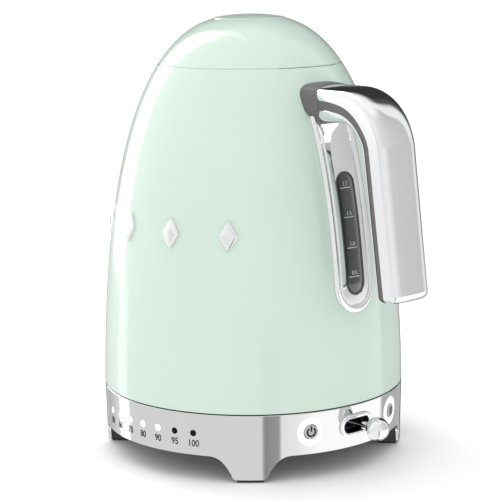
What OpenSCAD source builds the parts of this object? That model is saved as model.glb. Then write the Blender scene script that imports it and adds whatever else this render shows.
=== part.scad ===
// Electric kettle: a domed steel jug that lifts off a round powered base.
// Millimetres, +Z up, origin on the base's axis in the plane of its feet.
// +X is the handle and control side, -X the spout, -Y the side of the temperature lights.

/* [Jug] */
// Radius of the jug's skin, run down to the level of the feet
jug_r = 85.7; // [85.4:0.1:86]
// Height where the skin's curve would close on the axis
crown_z = 245.3; // [245:0.1:246]
// Thickness of the painted steel skin
skin_t = 0.9; // [0.7:0.1:1]
// Height of the jug's lower edge
jug_z = 38.3; // [38.2:0.1:39]
// Height of the upper face of the vessel's floor
floor_z = 61; // [60:0.5:62]
// Radius of the round opening that the lid closes
opening_r = 51.35; // [51.3:0.05:51.5]
// Radius of the filling mouth below the lid
mouth_r = 38; // [37:0.5:38.5]

/* [Lid] */
// Overall height, to the top of the lid's button
top_z = 245.6; // [245.4:0.1:246]
// Radius of the lid's push button
button_r = 19.85; // [19:0.05:20]
// Distance of the lid's hinge axis from the jug's axis
hinge_x = 44; // [43.8:0.1:44.2]
// Height of the lid's hinge axis
hinge_z = 220.5; // [220.3:0.1:220.7]

/* [Handle] */
// Width of the grip
grip_w = 27.4; // [26:0.2:28]
// Height of the grip's centre line where it leaves the jug
grip_z = 201; // [200.5:0.5:201.5]
// Radius of the bend in the grip's centre line
bend_r = 26; // [25:0.5:27]
// Distance of the bend's centre from the jug's axis
bend_x = 83; // [82:0.5:84]
// Lean of the grip's long stretch away from upright, in degrees
grip_lean = 7.7; // [7:0.1:8.5]
// Height of the centre of the grip's free end
grip_end_z = 99.5; // [97:0.5:102]

/* [Water gauge] */
// Half width of the gauge's frame
gauge_w = 14.3; // [13.5:0.1:14.5]
// Height of the frame's lower tip
gauge_z = 88; // [86:0.5:90]
// Half width of the window
window_w = 7.5; // [7:0.1:8]
// Height of the window's lower end
window_z0 = 98; // [97:0.5:99]
// Height of the window's upper end
window_z1 = 164; // [160:1:168]

/* [Base] */
// Outer radius of the base's upper edge
base_r = 85.4; // [85.2:0.1:85.6]
// Height of the base's upper edge
base_z = 37.8; // [37.6:0.1:37.9]
// Height of the skirt's lower edge between the feet
skirt_z = 14.3; // [14:0.1:15]
// Upper face of the plate that the jug stands on
plate_z = 34; // [33.9:0.1:34.1]
// Angle of the feet on each side of the handle's plane, in degrees
foot_angle = 43.5; // [42:0.5:46]
// Height of the temperature lights' centres
light_z = 26.8; // [26:0.1:27]
// Angle between neighbouring temperature lights, in degrees
light_pitch = 7.65; // [7:0.05:8]
// Height of the push buttons' centres
control_z = 27; // [26.8:0.1:27]
// Angle of each push button from the lever, in degrees
control_angle = 21; // [20:0.5:22]
// Height of the lever's centre
lever_z = 26.5; // [26:0.1:26.6]
// Diameter of the lever's ball
ball_d = 13; // [12:0.5:14]

/* [Hidden] */
$fn = 96;

// Exponents that shape the jug's dome, from a straight wall to a flat crown
dome_n = 2.56;
dome_m = 2.68;
// Running clearance of a shaft in its bore
run = 0.05;
// Gap between pieces that move past each other
gap = 0.3;
// Gap between curved faces that rest on each other
touch = 0.15;

seat_z = 212;
lid_t = 1.2;
lid_r = opening_r - 0.35;
pin_r = 1.1;
knuckle_r = 2.6;
lug_r = 2;
lug_y = 13.6;
bay_z = 210;
light_angle = -87.5;
badge_angle = -87;
badge_pitch = 24;
badge_z = 133.4;
ledge_r = 81.5;
skirt_t = 1.6;
floor_t = 1;
post_top = plate_z + 10;
ball_x = 99.5;
pivot_x = 72;
pivot_r = 1.5;
collar_z0 = 191.5;
collar_z1 = 211;
collar_w = 15.5;
gland_z = 24;
paint = [0.80, 0.89, 0.83];
steel = [0.75, 0.75, 0.76];
grey = [0.50, 0.49, 0.49];
black = [0.12, 0.12, 0.13];

// ---- Shared shapes ----

// Radius of the jug's outer skin at a height
function skin_r(z) = jug_r * pow(1 - pow(z / crown_z, dome_n), 1 / dome_m);
function skin_slope(z) = (skin_r(z + 0.1) - skin_r(z - 0.1)) / 0.2;
// Point on the skin at a height, moved outwards along its normal by d
function skin_pt(z, d) =
    let (m = skin_slope(z), s = sqrt(1 + m * m)) [skin_r(z) + d / s, z - d * m / s];
function skin_curve(z0, z1, d, n) = [for (i = [0:n]) skin_pt(z0 + (z1 - z0) * i / n, d)];
function reversed(list) = [for (i = [len(list) - 1:-1:0]) list[i]];
// Radius of the surface d inside the skin, at a height
function inner_r(z, d) = skin_r(z) - d * sqrt(1 + pow(skin_slope(z), 2));
function arc(cx, cy, r, a0, a1, n) =
    [for (i = [0:n]) let (a = a0 + (a1 - a0) * i / n) [cx + r * cos(a), cy + r * sin(a)]];

// Everything inside the skin moved outwards by d, between two heights
module skin_solid(d, z0, z1) {
    curve = skin_curve(z0, z1, d, 22);
    rotate_extrude() polygon(concat([[0, curve[0][1]]], curve, [[0, curve[22][1]]]));
}

// Puts a shape drawn around +Z onto a radial line, at an angle and a height
module radial(angle, z) {
    rotate([0, 0, angle]) translate([0, 0, z]) rotate([0, 90, 0]) children();
}

// Puts a flat shape drawn in X and Z into the plane of the handle, w thick
module upright(w) {
    rotate([90, 0, 0]) linear_extrude(w, center = true) children();
}

// A tube between two heights
module tube(r_in, r_out, z0, z1) {
    translate([0, 0, z0]) difference() {
        cylinder(r = r_out, h = z1 - z0);
        translate([0, 0, -1]) cylinder(r = r_in, h = z1 - z0 + 2);
    }
}

module disc(r, z0, z1) {
    translate([0, 0, z0]) cylinder(r = r, h = z1 - z0);
}

// A slot outline that stands upright once it is on a radial line
module slot(half_w, z0, z1) {
    for (z = [z0 + half_w, z1 - half_w]) translate([-z, 0]) circle(half_w);
    translate([-z1 + half_w, -half_w]) square([z1 - z0 - 2 * half_w, 2 * half_w]);
}

// A solid lofted through convex rings that have the same number of points
module lofted(rings) {
    n = len(rings[0]);
    m = len(rings);
    walls = [for (i = [0:m - 2]) for (j = [0:n - 1])
        let (a = i * n + j, b = i * n + (j + 1) % n) each [[a, b + n, b], [a, a + n, b + n]]];
    first = [for (j = [1:n - 2]) [0, j, j + 1]];
    last = [for (j = [1:n - 2]) [(m - 1) * n, (m - 1) * n + j + 1, (m - 1) * n + j]];
    polyhedron([for (ring = rings) each ring], concat(first, walls, last));
}

// A coil spring around +Z that starts at the origin
module coil(r, wire, height, turns) {
    steps = turns * 12;
    lofted([for (i = [0:steps]) let (a = 30 * i) [for (k = [0:5]) let (b = -60 * k)
        [(r + wire * cos(b)) * cos(a), (r + wire * cos(b)) * sin(a),
            wire + (height - 2 * wire) * i / steps + wire * sin(b)]]]);
}

// A pan-head screw that points up, with its head's lower face at the origin
module screw(shank_r, head_r, length) {
    cylinder(r = head_r, h = 1.6);
    cylinder(r = shank_r, h = length);
}

// ---- Jug: vessel ----

// The beak's plan, a wedge with a round nose, drawn inwards by d
module beak_plan(d) {
    polygon(concat([[-44, -23 + d]], arc(-79, 0, 5 - d, 236, 124, 10), [[-44, 23 - d]]));
}

// The beak seen from the side, drawn inwards by d
module beak_side(d, rise) {
    polygon([[-44, 171 + d], [-66, 173 + d], [-84 + d, 206.5], [-84 + d, 208 + rise],
        [-54, 213 + rise], [-44, 213 + rise]]);
}

module beak(d, rise) {
    intersection() {
        translate([0, 0, 160]) linear_extrude(80) beak_plan(d);
        upright(60) beak_side(d, rise);
    }
}

module spout_hole() {
    intersection() {
        beak(1.4, 12);
        translate([-100, -30, 170]) cube([60, 60, 37]);
    }
}

module handle_screw_places() {
    for (z = [197, 205]) translate([inner_r(z + 3.4, skin_t) - 1.65, 0, z]) rotate([0, 90, 0]) children();
}

module body_shell() {
    color(paint) difference() {
        rotate_extrude() polygon(concat(skin_curve(jug_z, 220.5, 0, 30),
            reversed(skin_curve(jug_z, 220.5, -skin_t, 30))));
        disc(opening_r, 205, 230);
        spout_hole();
        radial(0, 0) translate([0, 0, 60]) linear_extrude(40) slot(window_w, window_z0, window_z1);
        handle_screw_places() cylinder(r = 2, h = 10);
    }
}

module vessel_floor() {
    color(steel) difference() {
        disc(inner_r(floor_z, skin_t), floor_z - floor_t, floor_z);
        translate([0, 30, floor_z - 5]) cylinder(r = 4, h = 10);
    }
}

module bracket_places() {
    for (a = [60, 180, 300]) rotate([0, 0, a]) translate([70, 0, 0]) children();
}

module floor_brackets() {
    color(steel) bracket_places() difference() {
        disc(4, 37.4, floor_z - floor_t);
        disc(1.5, 37, 48);
    }
}

module heat_spreader() {
    color("silver") difference() {
        disc(62, floor_z - 4, floor_z - floor_t);
        translate([0, 30, floor_z - 5]) cylinder(r = 4.5, h = 10);
    }
}

module heating_element() {
    tube_r = 3.3;
    ring_z = floor_z - 4 - tube_r;
    color("dimgray") {
        rotate([0, 0, 20]) rotate_extrude(angle = 320) translate([48, ring_z]) circle(tube_r, $fn = 32);
        for (a = [20, 340]) rotate([0, 0, a]) translate([48, 0, 0]) disc(tube_r, 44, ring_z);
    }
}

module thermal_control() {
    color(black) translate([-28, -22, post_top + 4.5]) cube([56, 44, 8.3]);
}

module temperature_probe() {
    color(steel) translate([0, 30, 0]) {
        disc(3, 46, 66);
        translate([0, 0, 66]) sphere(3);
    }
}

module probe_seal() {
    color("white") translate([0, 30, 0]) {
        tube(3, 4, floor_z - floor_t, floor_z);
        tube(3, 7, floor_z, floor_z + 1.2);
    }
}

module jug_base_cover() {
    color(black) difference() {
        rotate_extrude() polygon([[18.2, 35.6], [79, 35.6], [79, plate_z + gap], [82.4, plate_z + gap],
            [82.4, jug_z], [84.2, jug_z], [84.2, 48], [82.6, 48], [82.6, 39.6], [80.4, 39.6],
            [80.4, 37.4], [18.2, 37.4]]);
        bracket_places() {
            disc(3.4, 35, 36.8);
            disc(1.6, 35, 38);
        }
    }
}

module jug_socket() {
    roof_z = post_top + 0.5;
    color(black) {
        tube(15.2, 18, 34.7, roof_z + 4);
        disc(15.2, roof_z, roof_z + 4);
        disc(2.5, 36, roof_z);
        tube(6.4, 7.6, 37, roof_z);
        tube(10.9, 12.1, 37, roof_z);
    }
}

module jug_base_screws() {
    color(steel) bracket_places() translate([0, 0, 35.2]) screw(1.5, 3.2, 10);
}

// ---- Jug: neck, spout and filter ----

module hinge_bay() {
    difference() {
        translate([38, -22, bay_z]) cube([24, 44, 14]);
        disc(41.5, 205, 213);
    }
}

// A lug that stands in the hinge bay from x0 and holds the hinge's pin
module hinge_lug(x0, y0, y1, r, width = 3.2) {
    translate([0, (y0 + y1) / 2, 0]) {
        upright(y1 - y0) {
            translate([x0, bay_z]) square([width, hinge_z - bay_z]);
            translate([hinge_x, hinge_z]) circle(r);
        }
    }
}

module hinge_bore(r) {
    translate([hinge_x, 0, hinge_z]) rotate([90, 0, 0]) cylinder(r = r, h = 60, center = true);
}

module neck_ring() {
    wall = skin_curve(208, 217, -skin_t - touch, 8);
    color("lightgray") difference() {
        union() {
            difference() {
                union() {
                    rotate_extrude() polygon(concat([[mouth_r, 208.5], [mouth_r, seat_z], [48.5, seat_z],
                        [48.5, 216.4]], [for (p = reversed(wall)) if (p[1] < 216.45 && p[1] > 208.5) p],
                        [[inner_r(208.5, skin_t + touch), 208.5]]));
                    tube(mouth_r, mouth_r + 1.8, 205.5, 209);
                }
                hinge_bay();
            }
            for (side = [-1, 1]) hinge_lug(40, side * lug_y - 1.2, side * lug_y + 1.2, lug_r);
            intersection() {
                tube(47.8, 49, 215.2, 216.4);
                translate([-60, -6, 200]) cube([20, 12, 30]);
            }
        }
        hinge_bore(pin_r);
    }
}

module spout() {
    color(paint) difference() {
        beak(0, 0);
        beak(1.4, 12);
        skin_solid(0, 160, 235);
    }
}

module filter_seat() {
    color("lightgray") difference() {
        intersection() {
            translate([-72, -18, 184]) cube([72 - 52.3, 36, 24]);
            skin_solid(-skin_t - touch, 160, 230);
        }
        translate([-80, -15, 187]) cube([40, 30, 18]);
    }
}

module filter_frame() {
    color("lightgray") difference() {
        translate([-52, -18, 184.3]) cube([2.4, 36, 23.4]);
        translate([-53, -15.4, 186.8]) cube([5, 30.8, 18.4]);
        translate([-51, -16.4, 185.8]) cube([0.4, 32.8, 20.4]);
    }
}

module filter_mesh() {
    color("gainsboro") difference() {
        translate([-51, -16.4, 185.8]) cube([0.4, 32.8, 20.4]);
        for (row = [0:5], col = [0:9])
            translate([-53, -14.6 + 3 * col, 187.4 + 3 * row]) cube([4, 2.2, 2.2]);
    }
}

// ---- Jug: handle, gauge and badges ----

arc_turn = 90 - grip_lean;
bend_z = grip_z - bend_r;
straight_x = bend_x + bend_r * sin(arc_turn);
straight_z = bend_z + bend_r * cos(arc_turn);
// Stations along the grip's centre line, to stop_z: [x, z, angle below level, half thickness]
function grip_stations(stop_z) = concat(
    [[52, grip_z, 0, 9.2], [72, grip_z, 0, 9.2]],
    [for (i = [0:12]) let (a = arc_turn * i / 12)
        [bend_x + bend_r * sin(a), bend_z + bend_r * cos(a), a, 9.1 - 1.4 * i / 12]],
    [[straight_x + (straight_z - stop_z) * tan(grip_lean), stop_z, arc_turn, 7.3]]);

// Lofts a convex section along the grip; the section is a function of the half thickness
module grip(section, stop_z) {
    lofted([for (s = grip_stations(stop_z)) [for (p = section(s[3]))
        [s[0] + p[1] * sin(s[2]), p[0], s[1] + p[1] * cos(s[2])]]]);
}

half_w = grip_w / 2;
shell_t = 1.4;
strip_t = 1.2;
stripe_w = 3.5;
edge_r = 5;
core_end_z = grip_end_z + shell_t;
// Lower edge of the outer shell, from the middle of the grip
function shell_edge(t) = -t + strip_t + stripe_w;
// Rounded section of the grip above the outer shell's edge, d inside its surface
function crown(t, d) = concat([[half_w - d, shell_edge(t)]],
    arc(half_w - edge_r, t - edge_r, edge_r - d, 0, 90, 4),
    arc(-half_w + edge_r, t - edge_r, edge_r - d, 90, 180, 4), [[-half_w + d, shell_edge(t)]]);
outer_section = function (t) crown(t, 0);
lining_section = function (t) crown(t, shell_t);
strip_section = function (t) [[half_w - 0.3, -t + strip_t], [-half_w + 0.3, -t + strip_t],
    [-half_w + 1.2, -t], [half_w - 1.2, -t]];
stripe_section = function (t) [[half_w - 0.2, -t + strip_t], [half_w - 0.2, shell_edge(t)],
    [-half_w + 0.2, shell_edge(t)], [-half_w + 0.2, -t + strip_t]];

module handle_outer_shell() {
    color(steel) difference() {
        grip(outer_section, grip_end_z);
        grip(lining_section, core_end_z);
        skin_solid(1.5, 160, 235);
    }
}

module handle_inner_shell() {
    color(steel) difference() {
        grip(strip_section, grip_end_z);
        skin_solid(1.5, 160, 235);
    }
}

module collar() {
    r = 7;
    intersection() {
        radial(0, 0) translate([0, 0, 50]) linear_extrude(40) {
            for (z = [collar_z0 + r, collar_z1 - r], y = [-collar_w + r, collar_w - r])
                translate([-z, y]) circle(r);
            translate([-collar_z1, -collar_w + r]) square([collar_z1 - collar_z0, 2 * collar_w - 2 * r]);
            translate([-collar_z1 + r, -collar_w]) square([collar_z1 - collar_z0 - 2 * r, 2 * collar_w]);
        }
        skin_solid(6, 160, 235);
    }
}

module handle_core() {
    color(grey) difference() {
        union() {
            difference() {
                collar();
                grip(outer_section, grip_end_z);
                grip(strip_section, grip_end_z);
            }
            grip(lining_section, core_end_z);
            grip(stripe_section, grip_end_z);
        }
        skin_solid(0, 160, 235);
        handle_screw_places() cylinder(r = 1.8, h = 16);
    }
}

module handle_screws() {
    color(steel) handle_screw_places() screw(1.8, 3.4, 14);
}

// The gauge frame's outline, d inside its edge
module gauge_outline(d) {
    translate([-gauge_z - gauge_w, 0]) circle(gauge_w - d);
    translate([-collar_z0 + d, -gauge_w + d])
        square([collar_z0 - gauge_z - gauge_w - d, 2 * gauge_w - 2 * d]);
}

module gauge_frame() {
    color(steel) difference() {
        intersection() {
            radial(0, 0) translate([0, 0, 55]) linear_extrude(50) gauge_outline(0);
            skin_solid(2.6, 70, 215);
        }
        difference() {
            radial(0, 0) translate([0, 0, 55]) linear_extrude(50) gauge_outline(2.6);
            skin_solid(1.4, 70, 215);
        }
        skin_solid(touch, 70, 215);
        radial(0, 0) translate([0, 0, 55]) linear_extrude(50) slot(window_w, window_z0, window_z1);
    }
}

module gauge_window() {
    color([0.24, 0.25, 0.26]) difference() {
        intersection() {
            radial(0, 0) translate([0, 0, 55]) linear_extrude(50)
                slot(window_w, window_z0, window_z1);
            skin_solid(1.2, 70, 215);
        }
        skin_solid(-3, 70, 215);
    }
}

module gauge_seal() {
    color("white") difference() {
        intersection() {
            radial(0, 0) translate([0, 0, 55]) linear_extrude(50)
                slot(window_w + 3, window_z0 - 3, window_z1 + 3);
            skin_solid(-skin_t, 70, 215);
        }
        skin_solid(-3, 70, 215);
        radial(0, 0) translate([0, 0, 50]) linear_extrude(50) slot(window_w, window_z0, window_z1);
    }
}

module badge_studs() {
    tall = 8;
    wide = 5;
    color(steel) difference() {
        intersection() {
            for (i = [-1.5:1:1.5])
                radial(badge_angle + badge_pitch * i, badge_z) translate([0, 0, 60]) linear_extrude(30)
                    polygon([[-tall, 0], [0, wide], [tall, 0], [0, -wide]]);
            skin_solid(1.8, 100, 165);
        }
        skin_solid(0, 100, 165);
    }
}

// ---- Lid ----

module lid_shell() {
    color(paint) difference() {
        union() {
            intersection() {
                rotate_extrude() polygon(concat(skin_curve(217, 244, 0, 22),
                    reversed(skin_curve(217, 244, -lid_t, 22))));
                disc(lid_r, 218.5, 260);
            }
            tube(lid_r - lid_t, lid_r, 217.4, 219.4);
            tube(button_r + 0.45, button_r + 1.65, 234, 242.6);
        }
        disc(button_r + 0.45, 230, 260);
        translate([30, -22, 210]) cube([40, 44, 8.9]);
        for (side = [-1, 1]) translate([hinge_x, side * lug_y, hinge_z]) rotate([90, 0, 0])
            cylinder(r = lug_r + gap, h = 3, center = true);
    }
}

module lid_liner() {
    web_z = 222;
    color("whitesmoke") difference() {
        union() {
            disc(35, 208, 209.5);
            tube(33.5, 35, 208, 214.9);
            tube(33.5, 41.5, 213.4, 214.9);
            intersection() {
                union() {
                    tube(38, 39.5, 214.9, 240);
                    disc(38.5, web_z, web_z + 1.5);
                    tube(4 + run, 6.5, web_z, web_z + 8);
                }
                skin_solid(-lid_t, 160, 244);
            }
            for (x = [-36, 6], side = [-1, 1])
                translate([x, side * 5.1 - 1, 215.6]) cube([8, 2, web_z - 215]);
            translate([30, -4, 215.6]) cube([2, 8, web_z - 215]);
            for (side = [-1, 1]) translate([0, side * 10.3, 0]) upright(3.8) {
                translate([37.5, hinge_z - knuckle_r]) square([6.5, 2 * knuckle_r]);
                translate([hinge_x, hinge_z]) circle(knuckle_r);
            }
        }
        disc(4 + run, web_z - 1, web_z + 10);
        translate([-50, -4.2, 215.7]) cube([20, 8.4, 3.9]);
        hinge_bore(pin_r + run);
    }
}

module lid_seal() {
    color("gray") tube(38.4, 41.2, seat_z + gap, 213.4);
}

module lid_button() {
    edge_z = 243.8;
    dome_r = (pow(button_r, 2) + pow(top_z - edge_z, 2)) / (2 * (top_z - edge_z));
    half_a = asin((button_r - 0.5) / dome_r);
    stem_z = 222.6;
    color(paint) {
        rotate_extrude() polygon(concat([[0, top_z - 2]], [[0, top_z]],
            reversed(arc(0, top_z - dome_r, dome_r, 90 - half_a, 89, 10)),
            [[button_r, edge_z - 0.5], [button_r, 238], [button_r - 1.5, 238],
            [button_r - 1.5, edge_z - 1.6]]));
        disc(4, stem_z, top_z - 1.5);
        upright(5) polygon([[-3, stem_z + 1], [3, stem_z + 1], [3, 219.5], [-2, 214.5], [-3, 214.5]]);
    }
}

module button_spring() {
    color("silver") translate([0, 0, 230.2]) coil(5.3, 0.45, top_z - 233.2, 5);
}

module latch_bolt() {
    slope_gap = 0.4;
    color("silver") difference() {
        upright(8) polygon([[-47.1, 214.9], [-47.1, 216.8], [-44.5, 219.4], [14, 219.4],
            [14, 216], [-42.8, 216], [-42.8, 214.9]]);
        upright(5.8) polygon([[-7, 215], [-1.5 + slope_gap, 215], [4.5 + slope_gap, 221], [-7, 221]]);
    }
}

module latch_spring() {
    color("silver") translate([14.2, 0, 217.7]) rotate([0, 90, 0]) coil(1.4, 0.3, 15.6, 6);
}

module hinge_pin() {
    color("silver") translate([hinge_x, 0, hinge_z]) rotate([90, 0, 0])
        cylinder(r = pin_r, h = 30, center = true);
}

module hinge_spring() {
    color("silver") translate([hinge_x, -2.6, hinge_z]) rotate([-90, 0, 0]) coil(1.8, 0.3, 10.6, 8);
}

module damper_housing() {
    color(black) difference() {
        hinge_lug(41.8, -7.8, -3.2, 2.9, 1.8);
        translate([hinge_x, -4, hinge_z]) rotate([90, 0, 0]) cylinder(r = 2.2, h = 3);
        translate([hinge_x, -6, hinge_z]) rotate([90, 0, 0]) cylinder(r = 1.7, h = 3);
        hinge_bore(pin_r);
    }
}

module damper_rotor() {
    color("white") difference() {
        union() {
            translate([hinge_x, -4.2, hinge_z]) rotate([90, 0, 0]) cylinder(r = 2.1, h = 2.6);
            translate([hinge_x, -4.2, hinge_z]) rotate([90, 0, 0]) cylinder(r = 1.6, h = 4.2);
        }
        hinge_bore(pin_r + run);
    }
}

// ---- Base ----

// A foot's outline on a radial line: upright sides that sweep out to the skirt's edge
module foot_outline(d) {
    foot_w = 9.5 - d;
    sweep_w = 22 - d;
    side = [for (i = [0:8]) let (a = 90 * i / 8)
        [-1.5 - (skirt_z - 1.5) * sin(a), sweep_w - (sweep_w - foot_w) * cos(a)]];
    polygon(concat(side, [[-skirt_z - 2, sweep_w], [-skirt_z - 2, -sweep_w]],
        reversed([for (p = side) [p[0], -p[1]]])));
}

module foot_places() {
    for (a = [foot_angle, -foot_angle, 180 - foot_angle, 180 + foot_angle]) radial(a, 0) children();
}

module button_places() {
    for (side = [-1, 1]) radial(side * control_angle, control_z) children();
}

function light_angles() = [for (i = [-3:3]) light_angle + light_pitch * i];

module bezel_outline(half_w, half_h) {
    for (y = [half_h - half_w, half_w - half_h]) translate([0, y]) circle(half_h);
    translate([-half_h, half_h - half_w]) square([2 * half_h, 2 * (half_w - half_h)]);
}

// What is cut away below the skirt, between the feet
module arches() {
    difference() {
        tube(base_r - 6, base_r + 5, 0, skirt_z);
        foot_places() translate([0, 0, 60]) linear_extrude(40) foot_outline(0);
    }
}

module base_shell() {
    foot_r = base_r - 0.9;
    foot_z = 1.5;
    color(steel) difference() {
        rotate_extrude() polygon([[foot_r, foot_z], [base_r, base_z - 0.5],
            [base_r - 0.5, base_z], [base_r - skirt_t, base_z], [base_r - skirt_t, plate_z - 1.5],
            [ledge_r, plate_z - 1.5], [ledge_r, plate_z - 3], [base_r - skirt_t, plate_z - 3],
            [foot_r - skirt_t, foot_z]]);
        arches();
        for (a = light_angles()) radial(a, light_z) cylinder(r = 1.5, h = 100);
        button_places() cylinder(r = 8, h = 100);
        radial(0, lever_z) linear_extrude(100) bezel_outline(10.25, 6);
        radial(180, gland_z) cylinder(r = 5.3, h = 100);
    }
}

module boss_places() {
    for (a = [45:90:315]) rotate([0, 0, a]) translate([68, 0, 0]) children();
}

module base_top_plate() {
    color(black) difference() {
        union() {
            disc(base_r - skirt_t - 0.05, plate_z - 1.5, plate_z);
            boss_places() disc(4, 16.5, plate_z - 1);
        }
        disc(14.8, 20, 40);
        boss_places() disc(1.5, 10, 29);
    }
}

module base_connector() {
    color(black) difference() {
        union() {
            disc(14.8, 28, post_top);
            disc(20, 28, plate_z - 1.5);
        }
        disc(3, 34.5, post_top + 1);
        tube(6, 8, 35.5, post_top + 1);
        tube(10.5, 12.5, 35.5, post_top + 1);
    }
}

module connector_shutter() {
    color("gray") tube(14.8 + run, 18.6, plate_z + 0.05, 34.4);
}

module base_bottom_cover() {
    cover_r = base_r - skirt_t - 0.7;
    color(black) difference() {
        union() {
            disc(cover_r, 14.5, 16.5);
            intersection() {
                tube(71.6, cover_r - 0.3, 1.5, 15);
                foot_places() translate([0, 0, 60]) linear_extrude(40) foot_outline(1);
            }
        }
        boss_places() disc(1.6, 10, 20);
    }
}

module foot_pads() {
    color([0.2, 0.2, 0.2]) foot_places() translate([-0.75, 0, 77.5])
        cube([1.5, 14, 10], center = true);
}

module light_pipes() {
    color("white") for (a = light_angles()) {
        radial(a, light_z) translate([0, 0, 74]) cylinder(r = 1.5, h = 11.4);
        rotate([0, 0, a]) translate([75.5, 0, 20.6]) cylinder(r = 1.5, h = 6.2);
    }
}

module push_button(side) {
    color("lightgray") radial(side * control_angle, control_z) {
        translate([0, 0, 84.3]) cylinder(r = 3.9, h = 2.6);
        translate([0, 0, 79.5]) cylinder(r = 1.5, h = 6);
    }
}

module halo_ring(side) {
    color("white") radial(side * control_angle, control_z) tube(4.3, 8, 83.9, 86);
}

module button_return_spring(side) {
    color("silver") radial(side * control_angle, control_z) translate([0, 0, 78.3]) coil(2.1, 0.3, 5.9, 4);
}

module power_button() { push_button(-1); }
module power_ring() { halo_ring(-1); }
module power_spring() { button_return_spring(-1); }
module warm_button() { push_button(1); }
module warm_ring() { halo_ring(1); }
module warm_spring() { button_return_spring(1); }

module button_switches() {
    color(black) button_places() {
        translate([-3, -3, 74.5]) cube([6, 6, 3.2]);
        translate([0, 0, 77]) cylinder(r = 1.2, h = 1);
        translate([-5, -8, 73]) cube([15, 16, 1.5]);
    }
}

module lever_bezel() {
    color(steel) radial(0, lever_z) difference() {
        translate([0, 0, 83.9]) linear_extrude(2.9) bezel_outline(10.25, 6);
        translate([0, 0, 80]) linear_extrude(10) bezel_outline(8, 4);
    }
}

module lever_arm() {
    hub_z = 25;
    color(steel) difference() {
        union() {
            radial(0, lever_z) translate([0, 0, pivot_x]) cylinder(r1 = 1.7, r2 = 2.6, h = ball_x - pivot_x - 5.6);
            translate([pivot_x, 0, hub_z]) cylinder(r = 4.5, h = 3.5);
        }
        translate([pivot_x, 0, 20]) cylinder(r = pivot_r + run, h = 15);
    }
}

module lever_knob() {
    ball_r = ball_d / 2;
    socket_r = 2.7;
    rim_a = acos(socket_r / ball_r);
    color(steel) radial(0, lever_z) translate([0, 0, ball_x]) rotate_extrude()
        polygon(concat([[0, -ball_r + 0.9]], [[socket_r, -ball_r + 0.9]],
            arc(0, 0, ball_r, -rim_a, 89, 24), [[0, ball_r]]));
}

module lever_pivot_pin() {
    color("silver") translate([pivot_x, 0, 0]) disc(pivot_r, 21.5, 30.8);
}

module lever_bracket() {
    color("silver") difference() {
        union() {
            for (z = [21.5, 29.3]) translate([64, -7, z]) cube([14, 14, 1.5]);
            translate([64, -7, 16.5]) cube([1.8, 14, 14.3]);
        }
        translate([pivot_x, 0, 15]) cylinder(r = pivot_r, h = 20);
    }
}

module lever_spring() {
    color("silver") translate([pivot_x, 0, 23.1]) coil(2.6, 0.2, 1.7, 2);
}

module control_board() {
    color("darkgreen") {
        translate([-35, -74, 19]) cube([70, 22, 1.6]);
        translate([-12, -66, 20.6]) cube([10, 10, 1.6]);
        translate([8, -66, 20.6]) cube([14, 8, 4]);
        for (x = [-30, 30]) translate([x, -56, 0]) disc(2.5, 16.5, 19);
    }
}

module power_board() {
    color("darkgreen") {
        translate([-52, -30, 19]) cube([34, 60, 1.6]);
        translate([-48, -26, 20.6]) cube([20, 15, 9.5]);
        translate([-48, -4, 20.6]) cube([12, 16, 8]);
        translate([-30, 20, 20.6]) cylinder(r = 5, h = 9);
        for (y = [-24, 24]) translate([-22, y, 0]) disc(2.5, 16.5, 19);
    }
}

module base_screws() {
    color(steel) boss_places() translate([0, 0, 12.9]) screw(1.5, 3.2, 14);
}

module cord_gland() {
    color(black) difference() {
        union() {
            radial(180, gland_z) tube(3.5, 5.3, 72, 88);
            radial(180, gland_z) tube(3.5, 7, 79.5, 82);
            translate([-82, -4, 16.5]) cube([8, 8, 1.5]);
        }
        radial(180, gland_z) cylinder(r = 3.5, h = 100);
    }
}

body_shell();
vessel_floor();
floor_brackets();
heat_spreader();
heating_element();
thermal_control();
temperature_probe();
probe_seal();
jug_base_cover();
jug_socket();
jug_base_screws();
neck_ring();
spout();
filter_seat();
filter_frame();
filter_mesh();
handle_core();
handle_outer_shell();
handle_inner_shell();
handle_screws();
gauge_frame();
gauge_window();
gauge_seal();
badge_studs();
lid_shell();
lid_liner();
lid_seal();
lid_button();
button_spring();
latch_bolt();
latch_spring();
hinge_pin();
hinge_spring();
damper_housing();
damper_rotor();
base_shell();
base_top_plate();
base_connector();
connector_shutter();
base_bottom_cover();
foot_pads();
light_pipes();
power_button();
power_ring();
power_spring();
warm_button();
warm_ring();
warm_spring();
lever_bezel();
lever_arm();
lever_knob();
lever_pivot_pin();
lever_bracket();
lever_spring();
control_board();
power_board();
button_switches();
base_screws();
cord_gland();
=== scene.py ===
import math
from functools import partial

import bmesh
import bpy
from mathutils import Matrix, Vector


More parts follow.
